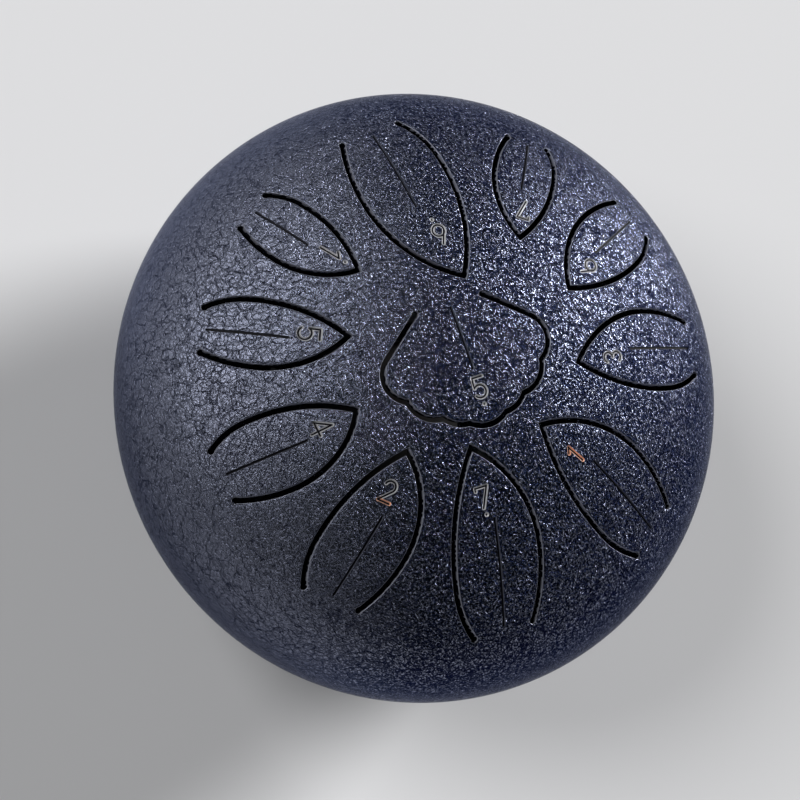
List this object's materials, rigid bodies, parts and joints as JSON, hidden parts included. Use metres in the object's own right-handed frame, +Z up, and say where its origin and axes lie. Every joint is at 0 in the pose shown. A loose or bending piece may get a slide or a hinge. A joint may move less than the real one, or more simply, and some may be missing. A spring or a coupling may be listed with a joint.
{
  "type": "steel tongue drum",
  "caption": "Small domed steel tongue drum: leaf-shaped tongues and a lobed centre tongue with engraved numbers, a closed sheet shell, a sound hole below and rubber feet.",
  "frame": {"origin": "centre of the plane that the feet stand on, under the middle of the drum", "axes": "+Z up along the drum's axis, +X from the centre tongue's root towards its free end, 11 degrees off, +Y completes a right-handed frame"},
  "size_m": [0.155, 0.155, 0.0965],
  "materials": {
    "drum_paint": "satin wrinkle coat",
    "zinc_steel": "zinc plated",
    "foot_rubber": "matt"
  },
  "bodies": {
    "drum": {"upper_shell": "drum_paint", "lower_shell": "drum_paint", "seam_weld": "drum_paint", "foot_1": "foot_rubber", "foot_2": "foot_rubber", "foot_3": "foot_rubber", "foot_4": "foot_rubber", "foot_washer_1": "zinc_steel", "foot_washer_2": "zinc_steel", "foot_washer_3": "zinc_steel", "foot_washer_4": "zinc_steel", "foot_screw_1": "zinc_steel", "foot_screw_2": "zinc_steel", "foot_screw_3": "zinc_steel", "foot_screw_4": "zinc_steel", "foot_nut_1": "zinc_steel", "foot_nut_2": "zinc_steel", "foot_nut_3": "zinc_steel", "foot_nut_4": "zinc_steel"},
    "tongue_centre_low_5": {"tongue_centre_low_5": "drum_paint"},
    "tongue_low_6": {"tongue_low_6": "drum_paint"},
    "tongue_low_7": {"tongue_low_7": "drum_paint"},
    "tongue_1": {"tongue_1": "drum_paint"},
    "tongue_2": {"tongue_2": "drum_paint"},
    "tongue_3": {"tongue_3": "drum_paint"},
    "tongue_4": {"tongue_4": "drum_paint"},
    "tongue_5": {"tongue_5": "drum_paint"},
    "tongue_6": {"tongue_6": "drum_paint"},
    "tongue_7": {"tongue_7": "drum_paint"},
    "tongue_high_1": {"tongue_high_1": "drum_paint"}
  },
  "joints": [
    {"name": "tongue_centre_low_5_root", "type": "hinge", "parent": "drum", "child": "tongue_centre_low_5", "pos_m": [-0.01526, 0.00113, 0.09442], "axis": [-0.1908, -0.9816, 0], "range_deg": [-0.4, 0.4], "stiffness_Nm_per_rad": 8},
    {"name": "tongue_low_6_root", "type": "hinge", "parent": "drum", "child": "tongue_low_6", "pos_m": [-0.06125, 0.01191, 0.07579], "axis": [-0.0854, -0.9963, 0], "range_deg": [-0.4, 0.4], "stiffness_Nm_per_rad": 8},
    {"name": "tongue_low_7_root", "type": "hinge", "parent": "drum", "child": "tongue_low_7", "pos_m": [0.05893, -0.02052, 0.07579], "axis": [0.2113, 0.9774, 0], "range_deg": [-0.4, 0.4], "stiffness_Nm_per_rad": 8},
    {"name": "tongue_1_root", "type": "hinge", "parent": "drum", "child": "tongue_1", "pos_m": [0.05701, 0.02538, 0.07579], "axis": [-0.4493, 0.8934, 0], "range_deg": [-0.4, 0.4], "stiffness_Nm_per_rad": 8},
    {"name": "tongue_2_root", "type": "hinge", "parent": "drum", "child": "tongue_2", "pos_m": [0.03158, -0.05382, 0.07579], "axis": [0.8018, 0.5976, 0], "range_deg": [-0.4, 0.4], "stiffness_Nm_per_rad": 8},
    {"name": "tongue_3_root", "type": "hinge", "parent": "drum", "child": "tongue_3", "pos_m": [0.02287, 0.05806, 0.07579], "axis": [-0.9516, 0.3074, 0], "range_deg": [-0.4, 0.4], "stiffness_Nm_per_rad": 8},
    {"name": "tongue_4_root", "type": "hinge", "parent": "drum", "child": "tongue_4", "pos_m": [-0.00598, -0.06211, 0.07579], "axis": [0.9982, -0.0593, 0], "range_deg": [-0.4, 0.4], "stiffness_Nm_per_rad": 8},
    {"name": "tongue_5_root", "type": "hinge", "parent": "drum", "child": "tongue_5", "pos_m": [-0.03842, -0.04917, 0.07579], "axis": [0.8151, -0.5793, 0], "range_deg": [-0.4, 0.4], "stiffness_Nm_per_rad": 8},
    {"name": "tongue_6_root", "type": "hinge", "parent": "drum", "child": "tongue_6", "pos_m": [-0.01223, 0.06119, 0.07579], "axis": [-0.9707, -0.2402, 0], "range_deg": [-0.4, 0.4], "stiffness_Nm_per_rad": 8},
    {"name": "tongue_7_root", "type": "hinge", "parent": "drum", "child": "tongue_7", "pos_m": [-0.04127, 0.04681, 0.07579], "axis": [-0.7009, -0.7133, 0], "range_deg": [-0.4, 0.4], "stiffness_Nm_per_rad": 8},
    {"name": "tongue_high_1_root", "type": "hinge", "parent": "drum", "child": "tongue_high_1", "pos_m": [-0.05761, -0.02398, 0.07579], "axis": [0.4083, -0.9128, 0], "range_deg": [-0.4, 0.4], "stiffness_Nm_per_rad": 8}
  ]
}
